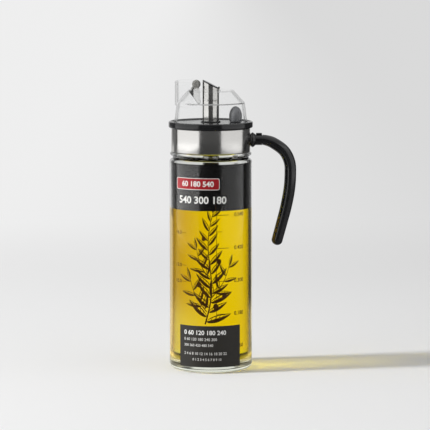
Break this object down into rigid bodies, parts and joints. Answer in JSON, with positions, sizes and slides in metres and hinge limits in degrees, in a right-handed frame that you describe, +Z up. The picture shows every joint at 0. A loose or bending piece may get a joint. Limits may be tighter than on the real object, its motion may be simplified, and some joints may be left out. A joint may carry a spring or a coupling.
{
  "type": "oil and vinegar dispenser",
  "caption": "Tall glass bottle with a steel collar, hooked side handle, push-in black lid, steel pouring spout with a flap, and a clear lift-off cover.",
  "frame": {"origin": "centre of the bottle's flat underside, on the bottle's axis", "axes": "+Z up along the bottle's axis, +X towards the handle, -X the side it pours to"},
  "size_m": [0.1175, 0.0776, 0.2667],
  "materials": {
    "glass": "thick clear glass with a faint green-yellow edge tint",
    "clear_plastic": "clear moulded plastic",
    "steel": "brushed stainless steel",
    "dark_steel": "dark satin steel",
    "gloss_black": "gloss black moulding",
    "satin_black": "satin black moulding",
    "black_silicone": "black silicone",
    "grey_silicone": "dark grey silicone",
    "white_silicone": "translucent white silicone"
  },
  "bodies": {
    "bottle": {"glass_bottle": "glass", "steel_collar": "steel", "collar_liner": "satin_black", "handle": "satin_black", "handle_boss": "satin_black", "handle_ferrule": "gloss_black", "handle_screw": "steel"},
    "lid": {"lid_flange": "gloss_black", "lid_plug": "satin_black", "plug_seal": "white_silicone", "rim_gasket": "white_silicone", "spout_tube": "steel", "spout_bush": "black_silicone", "spout_ring": "black_silicone", "spout_nut": "steel", "flap_pin": "steel", "air_valve": "grey_silicone", "air_tube": "white_silicone"},
    "cover": {"clear_cover": "clear_plastic", "lever_pin": "steel"},
    "lever": {"cover_lever": "clear_plastic"},
    "flap": {"spout_flap": "dark_steel"}
  },
  "joints": [
    {"name": "lid_lift", "type": "slide", "parent": "bottle", "child": "lid", "axis": [0, 0, 1], "range_m": [0, 0.05]},
    {"name": "cover_lift", "type": "slide", "parent": "lid", "child": "cover", "axis": [0, 0, 1], "range_m": [0, 0.045]},
    {"name": "lever_tilt", "type": "hinge", "parent": "cover", "child": "lever", "pos_m": [-0.0156, 0, 0.2588], "axis": [0, 1, 0], "range_deg": [0, 14]},
    {"name": "flap_swing", "type": "hinge", "parent": "lid", "child": "flap", "pos_m": [0.00745, 0, 0.25933], "axis": [0, 1, 0], "range_deg": [0, 55]}
  ]
}
